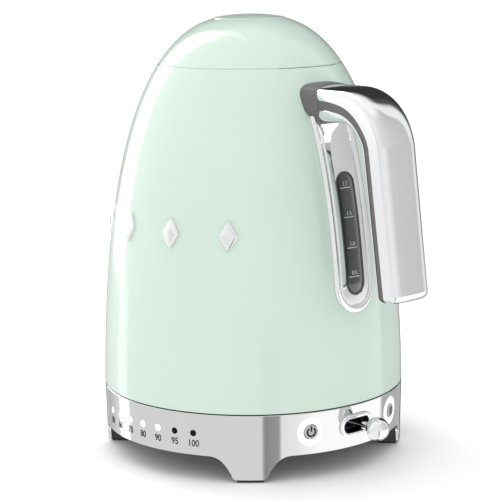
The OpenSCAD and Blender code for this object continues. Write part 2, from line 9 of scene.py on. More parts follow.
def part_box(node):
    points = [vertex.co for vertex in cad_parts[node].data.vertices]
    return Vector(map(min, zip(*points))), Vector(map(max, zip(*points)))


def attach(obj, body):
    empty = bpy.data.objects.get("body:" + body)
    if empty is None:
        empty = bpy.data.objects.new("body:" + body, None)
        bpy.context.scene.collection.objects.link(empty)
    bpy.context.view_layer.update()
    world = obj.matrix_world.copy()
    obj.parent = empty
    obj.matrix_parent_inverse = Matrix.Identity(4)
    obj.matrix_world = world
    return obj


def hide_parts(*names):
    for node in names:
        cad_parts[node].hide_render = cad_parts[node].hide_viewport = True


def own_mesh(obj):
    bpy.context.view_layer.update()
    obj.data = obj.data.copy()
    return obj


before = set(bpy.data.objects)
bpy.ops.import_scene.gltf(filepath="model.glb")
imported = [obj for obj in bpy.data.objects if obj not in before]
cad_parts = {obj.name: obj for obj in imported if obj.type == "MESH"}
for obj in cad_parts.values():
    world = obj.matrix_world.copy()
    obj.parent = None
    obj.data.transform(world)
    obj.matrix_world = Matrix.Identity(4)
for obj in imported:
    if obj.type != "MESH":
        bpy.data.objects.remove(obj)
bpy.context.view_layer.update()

# Electric kettle on a powered base. Shapes are drawn in millimetres and stored in metres.
# +X is the handle and lever side, -X the spout, -Y the side of the temperature lights.
MM = 0.001


def corners_mm(node):
    """Lowest and highest corner of a CAD node, in millimetres."""
    low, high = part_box(node)
    return low / MM, high / MM


BODY_LOW, BODY_HIGH = corners_mm("body_shell")
BASE_LOW, BASE_HIGH = corners_mm("base_shell")
FRAME_LOW, FRAME_HIGH = corners_mm("gauge_frame")
WINDOW_HIGH = corners_mm("gauge_window")[1]
GRIP_LOW, GRIP_HIGH = corners_mm("handle_outer_shell")
BUTTON_HIGH = corners_mm("lid_button")[1]
BEZEL_LOW, BEZEL_HIGH = corners_mm("lever_bezel")

# The jug's dome: a superellipse turned round the axis
DOME_TOP = 245.3
DOME_N = 2.56
DOME_M = 2.68
JUG_Z = BODY_LOW.z
JUG_R = BODY_HIGH.x / (1 - (JUG_Z / DOME_TOP) ** DOME_N) ** (1 / DOME_M)
SKIN_T = 0.9
LID_T = 1.2
OPENING_R = 51.35
LID_R = 51.0
BUTTON_R = BUTTON_HIGH.x
EDGE = 0.45

# The base's skirt, a slightly flared ring on four feet
SKIRT_R = BASE_HIGH.x
SKIRT_TOP = BASE_HIGH.z
SKIRT_BOTTOM = 14.3
SKIRT_T = 1.6
FOOT_Z = BASE_LOW.z
FOOT_R = SKIRT_R - 0.9
FOOT_ANGLES = [43.6, 136.4, 223.6, 316.4]
FOOT_HALF_W = 10.0
FOOT_CORNER = 2.6
FOOT_SWEEP = 13.4
LIGHT_Z = 26.8
LIGHT_ANGLE = -87.5
LIGHT_PITCH = 7.65
LIGHT_R = 1.8
LABELS = ["50", "60", "70", "80", "90", "95", "100"]
LIGHT_ANGLES = [LIGHT_ANGLE + LIGHT_PITCH * (i - 3) for i in range(7)]
LIT_COUNT = 5
CONTROL_Z = 27.0
CONTROL_ANGLE = 21.0
CONTROLS = ((-1, "power"), (1, "warm"))
LEVER_Z = (BEZEL_LOW.z + BEZEL_HIGH.z) / 2
PIVOT_X = 72
BEZEL_T = -1.6
BEZEL_W = 12.0
BEZEL_H = 6.4
GLAND_Z = 24.0
GLAND_R = 5.3
CUT_THROUGH = (78, 90)
HALO_BORE = 4.35
HALO_RIM = 7.98
NUMBER_Z = 21.0
NUMBER_SIZE = 5.2
NUMBER_WEIGHT = 0.05
NUMBER_WIDTH = 0.86
LEDGE_R = 81.5
LEDGE_Z = 31
BOARD_Z = 20.6

# The grip: a straight root, a bend and a long leaning stretch
GRIP_Z = 201.0
GRIP_W = GRIP_HIGH.y
BEND_R = 26.0
BEND_X = 83.0
GRIP_LEAN = math.radians(7.7)
BEND_TURN = math.pi / 2 - GRIP_LEAN
GRIP_END_Z = GRIP_LOW.z + 0.9
COLLAR_X = 68.5
ROOT_X = 60.0


# ---- Small tools ----

def steps(first, last, count):
    """count + 1 evenly spaced numbers from first to last."""
    return [first + (last - first) * i / count for i in range(count + 1)]


def mix(a, b, t):
    return a + (b - a) * t


def powered(v, power):
    """v to a power, with v's sign."""
    return math.copysign(abs(v) ** power, v)


def smooth(t):
    t = min(max(t, 0.0), 1.0)
    return t * t * (3 - 2 * t)


def bend(a, corner, b, count=4):
    """A quadratic curve from a to b that rounds the corner between them."""
    curve = []
    for t in steps(0, 1, count):
        u = 1 - t
        curve.append(tuple(u * u * p + 2 * u * t * c + t * t * q for p, c, q in zip(a, corner, b)))
    return curve


def arc(cx, cy, radius, first, last, count):
    """Points along a circle, angles in degrees."""
    turns = [math.radians(a) for a in steps(first, last, count)]
    return [(cx + radius * math.cos(a), cy + radius * math.sin(a)) for a in turns]


def mirrored(line):
    """A line's mirror image across its second axis, walked the other way."""
    return [(-p, q) for p, q in line[::-1]]


def grid_faces(rows, cols, wrap_rows=False, wrap_cols=False):
    faces = []
    for i in range(rows if wrap_rows else rows - 1):
        for j in range(cols if wrap_cols else cols - 1):
            k, m = (i + 1) % rows, (j + 1) % cols
            faces.append((i * cols + j, i * cols + m, k * cols + m, k * cols + j))
    return faces


def add_object(name, data):
    """A new object in the scene."""
    obj = bpy.data.objects.new(name, data)
    bpy.context.scene.collection.objects.link(obj)
    return obj


def new_mesh(name, points, faces):
    """A mesh object from points in millimetres, with merged poles and outward faces."""
    mesh = bpy.data.meshes.new(name)
    mesh.from_pydata([[MM * c for c in p] for p in points], [], faces)
    bm = bmesh.new()
    bm.from_mesh(mesh)
    bmesh.ops.remove_doubles(bm, verts=bm.verts, dist=2e-7)
    bmesh.ops.recalc_face_normals(bm, faces=bm.faces)
    bm.to_mesh(mesh)
    bm.free()
    return add_object(name, mesh)


def grid_object(name, rings, wrap_rows=False, capped=False):
    """A skin through rings that each close on themselves, with caps on the end rings."""
    cols = len(rings[0])
    faces = grid_faces(len(rings), cols, wrap_rows, True)
    if capped:
        last = (len(rings) - 1) * cols
        faces.append(tuple(range(cols)))
        faces.append(tuple(last + j for j in range(cols)))
    return new_mesh(name, [p for ring in rings for p in ring], faces)


def revolve(name, outline, count=96, matrix=None):
    """A closed outline of (radius, height) turned round the Z axis, then moved by matrix."""
    rings = []
    for i in range(count):
        a = 2 * math.pi * i / count
        rings.append([(r * math.cos(a), r * math.sin(a), z) for r, z in outline])
    obj = grid_object(name, rings, wrap_rows=True)
    if matrix is not None:
        obj.data.transform(matrix)
    return obj


def radial(angle, z):
    """Stands the Z axis on a radial line of the base, at an angle in degrees and a height."""
    turn = Matrix.Rotation(math.radians(angle), 4, "Z")
    return turn @ Matrix.Translation((0, 0, z * MM)) @ Matrix.Rotation(math.pi / 2, 4, "Y")


def apply_modifiers(obj):
    graph = bpy.context.evaluated_depsgraph_get()
    mesh = bpy.data.meshes.new_from_object(obj.evaluated_get(graph))
    obj.modifiers.clear()
    obj.data = mesh


def cut(obj, cutter):
    """Takes the cutter's solid away from the object, and removes the cutter."""
    modifier = obj.modifiers.new("cut", "BOOLEAN")
    modifier.solver = "EXACT"
    modifier.object = cutter
    apply_modifiers(obj)
    bpy.data.objects.remove(cutter)


def join(name, *parts):
    """One object from several closed solids."""
    bm = bmesh.new()
    for part in parts:
        bm.from_mesh(part.data)
        bpy.data.objects.remove(part)
    mesh = bpy.data.meshes.new(name)
    bm.to_mesh(mesh)
    bm.free()
    return add_object(name, mesh)


def shade(obj, angle=32):
    obj.data.polygons.foreach_set("use_smooth", [True] * len(obj.data.polygons))
    obj.data.set_sharp_from_angle(angle=math.radians(angle))


def polish(obj, normal_at, agree=0.94):
    """Gives the corners that lie on an exact surface that surface's own normal."""
    shade(obj)
    mesh = obj.data
    own = [c.vector.copy() for c in mesh.corner_normals]
    exact = [normal_at(v.co / MM) for v in mesh.vertices]
    for face in mesh.polygons:
        for corner in face.loop_indices:
            normal = exact[mesh.loops[corner].vertex_index]
            if normal is not None and normal.dot(face.normal) > agree:
                own[corner] = normal
    mesh.normals_split_custom_set(own)


def place(obj, body, slot, *nodes, angle=32, material=None):
    """Puts a piece on its body with its slot's material and hides the CAD nodes it stands for. Angle 0
    keeps its shading.
    """
    if angle:
        shade(obj, angle)
    obj.data.materials.clear()
    obj.data.materials.append(material or SLOT_MATERIALS[slot])
    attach(obj, body)
    if nodes:
        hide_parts(*nodes)
    return obj


# ---- The two main surfaces ----

def skin_r(z):
    return JUG_R * (1 - (z / DOME_TOP) ** DOME_N) ** (1 / DOME_M)


def skin_slope(z):
    return (skin_r(z + 0.05) - skin_r(z - 0.05)) / 0.1


def skin_point(z, d):
    """(radius, height) of the point d outside the skin, along its normal."""
    m = skin_slope(z)
    s = math.sqrt(1 + m * m)
    return skin_r(z) + d / s, z - d * m / s


def skin_z(radius, d=0.0):
    """Height at which the surface d outside the skin has a radius."""
    low, high = 100.0, DOME_TOP - 0.5
    for _ in range(40):
        z = (low + high) / 2
        if skin_point(z, d)[0] > radius:
            low = z
        else:
            high = z
    return z


def on_skin(y, z, d, angle=0.0):
    """Point d outside the skin, seen from a side of the jug at an angle in degrees."""
    r = skin_r(z)
    m = skin_slope(z)
    s = math.sqrt(1 + m * m)
    x = math.sqrt(r * r - y * y)
    px, py, pz = x + d * x / r / s, y + d * y / r / s, z - d * m / s
    a = math.radians(angle)
    return px * math.cos(a) - py * math.sin(a), px * math.sin(a) + py * math.cos(a), pz


def skin_normal(co):
    """Normal of the skin at a point on it, or None away from it."""
    r = math.hypot(co.x, co.y)
    if not JUG_Z + 0.6 < co.z < DOME_TOP - 1 or r < BUTTON_R:
        return None
    if abs(r - skin_r(co.z)) > 0.06:
        return None
    return Vector((co.x / r, co.y / r, -skin_slope(co.z))).normalized()


def skirt_r(z):
    return mix(FOOT_R, SKIRT_R, (z - FOOT_Z) / (SKIRT_TOP - 0.5 - FOOT_Z))


def skirt_normal(co):
    """Normal of the skirt's outer face at a point on it, or None away from it."""
    r = math.hypot(co.x, co.y)
    if co.z > SKIRT_TOP - 0.45 or abs(r - skirt_r(co.z)) > 0.04:
        return None
    slope = (SKIRT_R - FOOT_R) / (SKIRT_TOP - FOOT_Z)
    return Vector((co.x / r, co.y / r, -slope)).normalized()


def on_skirt(angle, t, z, d):
    """Point d outside the skirt, t millimetres along it from an angle in degrees."""
    a = math.radians(angle) + t / SKIRT_R
    r = skirt_r(z) + d
    return r * math.cos(a), r * math.sin(a), z


# ---- Materials ----

def new_material(name, metallic, roughness, **sockets):
    """A Principled material. Constants sit on the shader's own sockets."""
    material = bpy.data.materials.new(name)
    material.use_nodes = True
    shader = material.node_tree.nodes["Principled BSDF"]
    shader.inputs["Metallic"].default_value = metallic
    shader.inputs["Roughness"].default_value = roughness
    for socket, value in sockets.items():
        shader.inputs[socket.replace("_", " ")].default_value = value
    return material, shader


def noise(tree, scale, detail, stretch):
    """Noise in object space, in cells of 1/scale of a metre."""
    spot = tree.nodes.new("ShaderNodeTexCoord")
    mapping = tree.nodes.new("ShaderNodeMapping")
    mapping.inputs["Scale"].default_value = stretch
    cells = tree.nodes.new("ShaderNodeTexNoise")
    cells.inputs["Scale"].default_value = scale
    cells.inputs["Detail"].default_value = detail
    tree.links.new(spot.outputs["Object"], mapping.inputs["Vector"])
    tree.links.new(mapping.outputs["Vector"], cells.inputs["Vector"])
    return cells.outputs["Fac"]


def ramp(tree, source, stops):
    """A ramp on a socket; stops are (position, colour or brightness)."""
    node = tree.nodes.new("ShaderNodeValToRGB")
    elements = node.color_ramp.elements
    elements.remove(elements[0])
    for i, (position, value) in enumerate(stops):
        element = elements[0] if i == 0 else elements.new(position)
        element.position = position
        element.color = (*value, 1) if isinstance(value, tuple) else (value, value, value, 1)
    tree.links.new(source, node.inputs["Fac"])
    return node.outputs["Color"]


def varied(shader, socket, low, high, scale, detail=3.0, stretch=(1, 1, 1)):
    """Lets noise move one of the shader's sockets between two values."""
    tree = shader.id_data
    value = ramp(tree, noise(tree, scale, detail, stretch), [(0.3, low), (0.7, high)])
    tree.links.new(value, shader.inputs[socket])


def tinted(shader, colour, spread, scale, stretch=(1, 1, 1)):
    """Varies the base colour a little either way."""
    dark = tuple(c * (1 - spread) for c in colour)
    light = tuple(min(c * (1 + spread), 1) for c in colour)
    varied(shader, "Base Color", dark, light, scale, 3.0, stretch)


def grained(shader, strength, scale):
    """A fine bump from noise."""
    tree = shader.id_data
    bump = tree.nodes.new("ShaderNodeBump")
    bump.inputs["Strength"].default_value = strength
    bump.inputs["Distance"].default_value = 0.00005
    tree.links.new(noise(tree, scale, 2.0, (1, 1, 1)), bump.inputs["Height"])
    tree.links.new(bump.outputs["Normal"], shader.inputs["Normal"])


def enamel(name, colour):
    material, shader = new_material(
        name, 0.0, 0.5, Specular_IOR_Level=0.15, Coat_Weight=1.0, Coat_Roughness=0.0, Coat_IOR=1.55)
    tinted(shader, colour, 0.012, 18)
    return material


def metal(name, colour, low, high, scale=260, stretch=(1, 1, 1), spread=0.008):
    material, shader = new_material(name, 1.0, (low + high) / 2)
    tinted(shader, colour, spread, scale, stretch)
    varied(shader, "Roughness", low, high, scale / 4, 4.0, stretch)
    return material


def plastic(name, colour, low, high, grain=0.15, spread=0.06, **sockets):
    material, shader = new_material(name, 0.0, (low + high) / 2, **sockets)
    tinted(shader, colour, spread, 280)
    varied(shader, "Roughness", low, high, 175, 4.0)
    grained(shader, grain, 1400)
    return material


def glowing(name, colour, strength):
    material, shader = new_material(name, 0.0, 0.3, Emission_Strength=strength)
    tinted(shader, colour, 0.02, 300)
    varied(shader, "Emission Color", (0.96, 0.98, 1.0), (1.0, 1.0, 1.0), 200)
    return material


def smoked(name):
    material, shader = new_material(name, 0.0, 0.06, Coat_Weight=1.0, Coat_Roughness=0.02)
    tinted(shader, (0.035, 0.037, 0.04), 0.2, 60, (1, 1, 0.1))
    return material


GREEN = (0.585, 0.715, 0.628)
INK = plastic("black_ink", (0.006, 0.006, 0.007), 0.5, 0.6, 0.05, Specular_IOR_Level=0.1)
WHITE_INK = plastic("white_ink", (0.62, 0.63, 0.64), 0.5, 0.6, 0.05)
LIT = glowing("light_guide_lit", (0.9, 0.9, 0.9), 1.5)

SLOT_MATERIALS = {
    "painted_steel": enamel("painted_steel_enamel", GREEN),
    "painted_button": enamel("painted_button_enamel", GREEN),
    "polished_steel": metal("polished_steel_skirt", (0.66, 0.655, 0.655), 0.02, 0.03),
    "bright_chrome": metal("bright_chrome_plate", (0.86, 0.865, 0.875), 0.03, 0.06),
    "grey_plastic": plastic("grey_plastic_satin", (0.13, 0.124, 0.124), 0.38, 0.46),
    "smoked_window": smoked("smoked_window_plastic"),
    "button_grey": plastic("button_grey_satin", (0.42, 0.42, 0.43), 0.3, 0.36, 0.05),
    "black_plastic": plastic("black_plastic_matt", (0.018, 0.018, 0.02), 0.45, 0.6),
    "light_guide": LIT,
    "inner_steel": metal("inner_steel_brushed", (0.6, 0.6, 0.59), 0.2, 0.34, 900, (1, 1, 0.04)),
    "zinc_steel": metal("zinc_steel_plate", (0.5, 0.52, 0.55), 0.25, 0.4, 600, (1, 1, 1), 0.08),
    "spring_steel": metal("spring_steel_wire", (0.42, 0.42, 0.43), 0.2, 0.3, 1200),
    "heat_aluminium": metal("heat_aluminium_rolled", (0.62, 0.62, 0.63), 0.3, 0.42, 700, (0.05, 1, 1)),
    "element_steel": metal("element_steel_sheath", (0.22, 0.2, 0.19), 0.4, 0.55, 500, (1, 1, 1), 0.15),
    "white_plastic": plastic("white_plastic_satin", (0.72, 0.72, 0.7), 0.35, 0.45, 0.1, 0.02),
    "silicone": plastic("silicone_white", (0.66, 0.66, 0.63), 0.5, 0.6, 0.1, 0.03),
    "foot_rubber": plastic("foot_rubber_black", (0.02, 0.02, 0.02), 0.7, 0.85, 0.3),
    "circuit_board": plastic("circuit_board_green", (0.01, 0.12, 0.06), 0.25, 0.4, 0.1, 0.2),
}


def dress_cad_nodes():
    """Gives every CAD node the material of its slot."""
    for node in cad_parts.values():
        slot = node.data.materials[0].name.split(".")[0]
        for i in range(len(node.data.materials)):
            node.data.materials[i] = SLOT_MATERIALS[slot]
        shade(node, 25)


# ---- Jug ----

def jug_outline():
    top = skin_z(OPENING_R)
    outer = [skin_point(z, 0) for z in steps(JUG_Z + EDGE, top - EDGE, 110)]
    inner = [skin_point(z, -SKIN_T) for z in steps(JUG_Z + 0.1, skin_z(OPENING_R, -SKIN_T), 60)]
    rim = bend(outer[-1], (OPENING_R, top), (OPENING_R, top - EDGE))
    foot = bend((inner[0][0] + 0.2, JUG_Z), (skin_r(JUG_Z), JUG_Z), outer[0])
    return outer[1:] + rim[1:] + inner[::-1] + foot


# The beak is a wedge with a round nose that leans outwards as it rises
BEAK_TIP = -84.0
BEAK_NOSE_R = 5.0
BEAK_HALF_W = 23.0
BEAK_ROOT_X = -44.0
BEAK_LEAN = 0.537
BEAK_Z = 206.5
BEAK_WALL = 1.3
BEAK_FOOT = 168.0
BEAK_OPENING_TOP = 206


def beak_plan(inset):
    """The wedge's outline at its top, from one side of the jug round the nose to the other."""
    centre = BEAK_TIP + BEAK_NOSE_R
    nose = arc(centre, 0, BEAK_NOSE_R - inset, 124, 236, 14)
    sides = [(BEAK_ROOT_X, BEAK_HALF_W - inset), nose[0]]
    run_in = [tuple(mix(p, q, t) for p, q in zip(*sides)) for t in steps(0, 0.96, 14)]
    run_out = [(x, -y) for x, y in run_in[::-1]]
    return run_in + nose + run_out


def beak_lip(x):
    return mix(208.0, 213.0, (x - BEAK_TIP) / 30)


def beak_point(x, y, z):
    return x + BEAK_LEAN * (BEAK_Z - z), y, z


def beak_column(outer, inner):
    """One upright slice through the beak's wall, with a rounded lip."""
    top = beak_lip(outer[0])
    heights = steps(BEAK_FOOT, top - 0.7, 24)
    outside = [beak_point(*outer, z) for z in heights]
    inside = [beak_point(*inner, z) for z in heights[::-1]]
    peak = beak_point(mix(outer[0], inner[0], 0.5), mix(outer[1], inner[1], 0.5), top)
    corner = tuple(2 * p - (a + b) / 2 for p, a, b in zip(peak, outside[-1], inside[0]))
    return outside[:-1] + bend(outside[-1], corner, inside[0], 6) + inside[1:]


def skin_block(d, z0=150, z1=235):
    """Everything inside the surface d outside the skin."""
    curve = [skin_point(z, d) for z in steps(z0, z1, 60)]
    return revolve("skin_block", [(0, curve[0][1])] + curve + [(0, curve[-1][1])], 192)


def spout_piece():
    columns = [beak_column(o, i) for o, i in zip(beak_plan(0), beak_plan(BEAK_WALL))]
    spout = grid_object("pouring_spout", columns, capped=True)
    cut(spout, skin_block(-0.35))
    place(spout, "jug", "painted_steel", "spout", angle=40)


def spout_opening():
    """The solid that opens the jug's skin inside the beak."""
    outline = beak_plan(BEAK_WALL)
    rings = [[beak_point(x, y, z) for x, y in outline] for z in steps(BEAK_FOOT, BEAK_OPENING_TOP, 8)]
    return grid_object("spout_opening", rings, capped=True)


def slot_outline(half_w, z0, z1, side=40, turn=16):
    """An upright slot's outline from its top, down its left side and round: (y, z)."""
    top = arc(0, z1 - half_w, half_w, 90, 180, turn)
    left = [(-half_w, z) for z in steps(z1 - half_w, z0 + half_w, side)]
    foot = arc(0, z0 + half_w, half_w, 180, 270, turn)
    half = top[:-1] + left[:-1] + foot
    return half + mirrored(half[1:-1])


WINDOW_W = WINDOW_HIGH.y - 0.7
WINDOW_Z0 = 98.0
WINDOW_Z1 = 164.0


def window_opening():
    outline = slot_outline(WINDOW_W, WINDOW_Z0, WINDOW_Z1)
    rings = [[(x, y, z) for y, z in outline] for x in (40, 120)]
    return grid_object("window_opening", rings, capped=True)


def jug_body():
    body = revolve("jug_body", jug_outline(), 288)
    cut(body, spout_opening())
    cut(body, window_opening())
    polish(body, skin_normal)
    place(body, "jug", "painted_steel", "body_shell", angle=0)
    body.data.materials.append(SLOT_MATERIALS["inner_steel"])
    for face in body.data.polygons:
        x, y, z = face.center / MM
        if math.hypot(x, y) < skin_r(z) - SKIN_T / 2 and z < 216:
            face.material_index = 1


# ---- Lid ----

LID_Z = 217.4
WELL_Z = 234
STEM_Z = 222.6
CAP_Z = 238


def lid_outline():
    seam = skin_z(LID_R)
    hole_r = BUTTON_R + 0.45
    crown = skin_z(hole_r)
    outer = [skin_point(z, 0) for z in steps(seam + EDGE, crown - 0.25, 60)]
    edge = bend((LID_R, seam - EDGE), (LID_R, seam), outer[0])
    hole = bend(outer[-1], (hole_r, crown), (hole_r, crown - 0.5))
    inner_ends = [skin_z(r, -LID_T) for r in (hole_r + LID_T, LID_R - LID_T)]
    inner = [skin_point(z, -LID_T) for z in steps(*inner_ends, 40)]
    well = [(hole_r, WELL_Z), (hole_r + LID_T, WELL_Z)]
    return [(LID_R, LID_Z)] + edge + outer[1:] + hole[1:] + well + inner + [(LID_R - LID_T, LID_Z)]


def box_block(x0, x1, y0, y1, z0, z1):
    ring = [(x0, y0), (x1, y0), (x1, y1), (x0, y1)]
    return grid_object("box_block", [[(x, y, z) for x, y in ring] for z in (z0, z1)], capped=True)


def lid_dome():
    lid = revolve("lid_dome", lid_outline(), 256)
    cut(lid, box_block(30, 70, -22, 22, 210, 218.8))
    polish(lid, skin_normal)
    place(lid, "lid", "painted_steel", "lid_shell", angle=0)


def lid_button():
    rise = 1.8
    edge_z = BUTTON_HIGH.z - rise
    dome_r = (BUTTON_R ** 2 + rise ** 2) / (2 * rise)
    radii = steps(BUTTON_R - 0.7, 0, 24)
    dome = [(r, BUTTON_HIGH.z - dome_r + math.sqrt(dome_r ** 2 - r * r)) for r in radii]
    edge = bend((BUTTON_R, edge_z - 0.7), (BUTTON_R, edge_z + 0.12), dome[0], 6)
    inner = BUTTON_R - 1.5
    stem = [(0, STEM_Z), (4, STEM_Z), (4, edge_z - 1.2), (inner, edge_z - 1.4), (inner, CAP_Z + 0.6)]
    wall = bend((inner + 0.5, CAP_Z), (BUTTON_R, CAP_Z), (BUTTON_R, CAP_Z + 0.6), 3)
    cap = revolve("lid_button_cap", stem + wall + edge + dome[1:], 160)
    wedge = [(-3, STEM_Z + 1), (3, STEM_Z + 1), (3, 219.5), (-2, 214.5), (-3, 214.5)]
    cam = grid_object("cam", [[(x, y, z) for x, z in wedge] for y in (-2.5, 2.5)], capped=True)
    button = join("lid_push_button", cap, cam)
    place(button, "lid_button", "painted_button", "lid_button", angle=30)


# ---- Handle ----

ROOT_T = 9.2
BEND_END_T = 7.7
END_T = 7.3
ROOT_LENGTH = BEND_X - ROOT_X
BEND_LENGTH = BEND_R * BEND_TURN
BEND_END_X = BEND_X + BEND_R * math.sin(BEND_TURN)
BEND_END_Z = GRIP_Z - BEND_R + BEND_R * math.cos(BEND_TURN)
GRIP_LENGTH = ROOT_LENGTH + BEND_LENGTH + (BEND_END_Z - GRIP_END_Z) / math.cos(GRIP_LEAN)
END_ROUND = 3.6


def grip_place(s):
    """Centre, angle and half thickness of the grip, s along its centre line from x = ROOT_X."""
    if s < ROOT_LENGTH:
        return ROOT_X + s, GRIP_Z, 0.0, ROOT_T
    s -= ROOT_LENGTH
    if s < BEND_LENGTH:
        a = s / BEND_R
        t = mix(ROOT_T, BEND_END_T, smooth(s / BEND_LENGTH))
        return BEND_X + BEND_R * math.sin(a), GRIP_Z - BEND_R + BEND_R * math.cos(a), a, t
    s -= BEND_LENGTH
    share = s / (GRIP_LENGTH - ROOT_LENGTH - BEND_LENGTH)
    x = BEND_END_X + s * math.sin(GRIP_LEAN)
    return x, BEND_END_Z - s * math.cos(GRIP_LEAN), BEND_TURN, mix(BEND_END_T, END_T, share)


def grip_bands(s):
    """Heights of the inner strip and of the grey stripe on the grip's side."""
    t = smooth((s - 10) / (ROOT_LENGTH + 0.75 * BEND_LENGTH - 10))
    return mix(5.9, 1.3, t), mix(5.0, 3.5, t)


def grip_point(s, y, q):
    x, z, a, _ = grip_place(s)
    return x + q * math.sin(a), y, z + q * math.cos(a)


def crown_line(s, inset=0, count=28):
    """The grip's outer face in section, from its right edge over to its left: (y, q)."""
    t = grip_place(s)[3]
    strip, stripe = grip_bands(s)
    edge = -t + strip + stripe
    low = t - 5.4
    power = 2 / 2.7
    half = GRIP_W - inset
    line = []
    for a in steps(0, math.pi, count):
        c, v = math.cos(a), math.sin(a)
        y = half * powered(c, power)
        line.append((y, low + (t - inset - low) * abs(v) ** power))
    return [(half, edge)] + line + [(-half, edge)]


def outer_section(s):
    """The outer shell's closed section."""
    outer = crown_line(s)
    lining = crown_line(s, 1.0)
    lip = [(outer[-1][0] + 0.3, outer[-1][1] - 0.25)]
    lip_back = [(outer[0][0] - 0.3, outer[0][1] - 0.25)]
    return outer + lip + lining[::-1] + lip_back


def strip_section(s):
    """The inner strip's closed section."""
    t = grip_place(s)[3]
    strip = grip_bands(s)[0]
    r = min(0.75 * strip, 3.0)
    top = -t + strip
    side = [(GRIP_W - 0.25, top), (GRIP_W, top - 0.25)] + arc(GRIP_W - r, -t + r, r, 0, -90, 8)
    groove = [(-GRIP_W + 1.1, top), (-GRIP_W + 1.1, -t + 0.9)]
    return side + mirrored(side) + groove + mirrored(groove)


def core_section(s):
    """The grey core's section, just inside the chrome."""
    t = grip_place(s)[3]
    crown = crown_line(s, 0.35)
    r = 2.4
    right = arc(GRIP_W - 0.35 - r, -t + 0.35 + r, r, 0, -90, 6)[::-1]
    return crown[1:-1] + mirrored(right) + right


def tongue(d, radius):
    """How far a corner of this radius draws the end back, d from the edge."""
    if d >= radius:
        return 0.0
    return radius - math.sqrt(radius * radius - (radius - d) ** 2)


def shell_start(s, q):
    """Start of the outer shell along the grip, rounded at its lower edge."""
    t = grip_place(s)[3]
    edge = -t + sum(grip_bands(s))
    return COLLAR_X - ROOT_X - 1.2 + tongue(max(q - edge, 0), 2.2)


def strip_start(s, q):
    """Start of the inner strip along the grip, rounded at its corners."""
    t = grip_place(s)[3]
    high = -t + grip_bands(s)[0]
    return COLLAR_X - ROOT_X + 0.8 + tongue(max(high - q, 0), 1.6) + tongue(max(q + t, 0), 3.2)


def grip_stations(first, last):
    root = steps(first, ROOT_LENGTH, 10)
    turn = steps(ROOT_LENGTH, ROOT_LENGTH + BEND_LENGTH, 40)
    return root + turn[1:] + steps(ROOT_LENGTH + BEND_LENGTH, last, 16)[1:]


def round_end(section, stop):
    """Rings that draw in from s = stop to a rounded far end."""
    rings = []
    for a in steps(0, math.pi / 2, 7)[1:]:
        s = stop + END_ROUND * math.sin(a)
        shrink = END_ROUND * (1 - math.cos(a))
        t = grip_place(s)[3]
        across, up = 1 - shrink / GRIP_W, 1 - shrink / t
        rings.append([grip_point(s, y * across, q * up) for y, q in section(s)])
    return rings


def grip_sweep(name, section, first, last, start=None, rounded=True):
    """A skin through a section that follows the grip, with a rounded far end."""
    stop = last - END_ROUND if rounded else last
    rings = [[grip_point(s, y, q) for y, q in section(s)] for s in grip_stations(first, stop)]
    if start is not None:
        begin = [grip_point(start(first, q), y, q) for y, q in section(first)]
        rings = [begin] + rings
    if rounded:
        rings += round_end(section, stop)
    return grid_object(name, rings, capped=True)


def handle_outer():
    stop = GRIP_LENGTH - END_ROUND
    shell = grip_sweep("shell", outer_section, 12.5, stop - 0.5, shell_start, False)
    rings = [[grip_point(s, y, q) for y, q in crown_line(s)] for s in (stop - 0.5, stop)]
    cap = grid_object("cap", rings + round_end(crown_line, stop), capped=True)
    outer = join("handle_outer_cover", shell, cap)
    place(outer, "jug", "bright_chrome", "handle_outer_shell", angle=40)


def handle_inner():
    inner = grip_sweep("handle_inner_strip", strip_section, 14.5, GRIP_LENGTH - 0.3, strip_start)
    place(inner, "jug", "bright_chrome", "handle_inner_shell", angle=40)


def handle_core():
    core = grip_sweep("handle_grey_core", core_section, 0, GRIP_LENGTH - 0.5)
    cut(core, skin_block(-0.3))
    place(core, "jug", "grey_plastic", "handle_core", angle=40)


def collar_line(count=96):
    """The grip's whole outline at its root, with its outward direction: (y, q, ny, nq)."""
    line = []
    power = 2 / 3.4
    for a in steps(0, 2 * math.pi, count)[:-1]:
        c, v = math.cos(a), math.sin(a)
        y = powered(c, power) * (GRIP_W - 0.2)
        q = powered(v, power) * (ROOT_T - 0.2)
        line.append((y, q, c, v))
    return line


def collar_ring(u, swell):
    """One ring of the collar; u is 0 on the skin and 1 at the collar's front."""
    ring = []
    for y, q, ny, nq in collar_line():
        py = y + 2.5 * swell * ny
        pz = GRIP_Z + q + (1.0 if nq > 0 else 0.4) * swell * nq
        x = math.sqrt(skin_r(pz) ** 2 - py * py)
        ring.append((mix(x, COLLAR_X, u), py, pz))
    return ring


def handle_collar():
    rings = [collar_ring(-0.2, -0.8), collar_ring(-0.2, 1.0)]
    for a in steps(0, math.pi / 2, 10):
        rings.append(collar_ring(math.sin(a), mix(-0.1, 1.0, math.cos(a))))
    rings.append(collar_ring(1.0, -0.8))
    collar = grid_object("handle_root_collar", rings, wrap_rows=True)
    place(collar, "jug", "grey_plastic", angle=40)


# ---- Water gauge ----

FRAME_W = FRAME_HIGH.y
FRAME_Z0 = FRAME_LOW.z + 0.15
FRAME_TOP = 193.5


def frame_outline(inset, side=60, turn=20):
    """The frame's outline from its top left, round its foot: (y, z)."""
    half = FRAME_W - inset
    centre = FRAME_Z0 + FRAME_W
    left = [(-half, z) for z in steps(FRAME_TOP, centre, side)]
    foot = arc(0, centre, half, 180, 360, 2 * turn)
    return left[:-1] + foot + mirrored(left[:-1])


